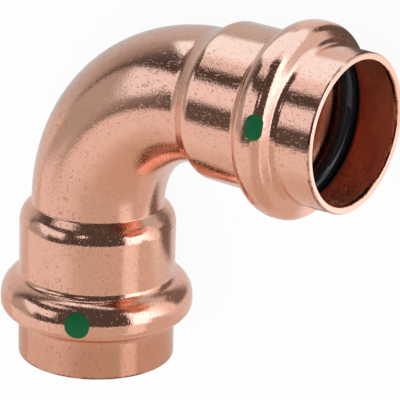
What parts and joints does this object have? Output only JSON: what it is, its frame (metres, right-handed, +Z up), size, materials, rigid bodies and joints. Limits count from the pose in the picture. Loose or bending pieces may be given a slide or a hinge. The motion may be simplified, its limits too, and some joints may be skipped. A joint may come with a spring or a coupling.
{
  "type": "press fit pipe elbow",
  "caption": "Copper right-angle pipe elbow with a press socket at each end; each socket's bead holds a rubber seal ring and carries a green paint mark.",
  "frame": {"origin": "on the ground under the middle of the fitting's box, as it lies on its side", "axes": "+Z up; the right socket opens towards +X and the front socket towards -Y, both raised about ten degrees"},
  "size_m": [0.0646, 0.0646, 0.0299],
  "materials": {
    "copper": "bright drawn copper with fine scuffs and pits",
    "seal_rubber": "smooth black EPDM rubber, slightly greased",
    "green_paint": "flat green marking paint"
  },
  "bodies": {
    "root": {"elbow": "copper", "front_seal": "seal_rubber", "right_seal": "seal_rubber", "front_mark": "green_paint", "right_mark": "green_paint"}
  },
  "joints": []
}
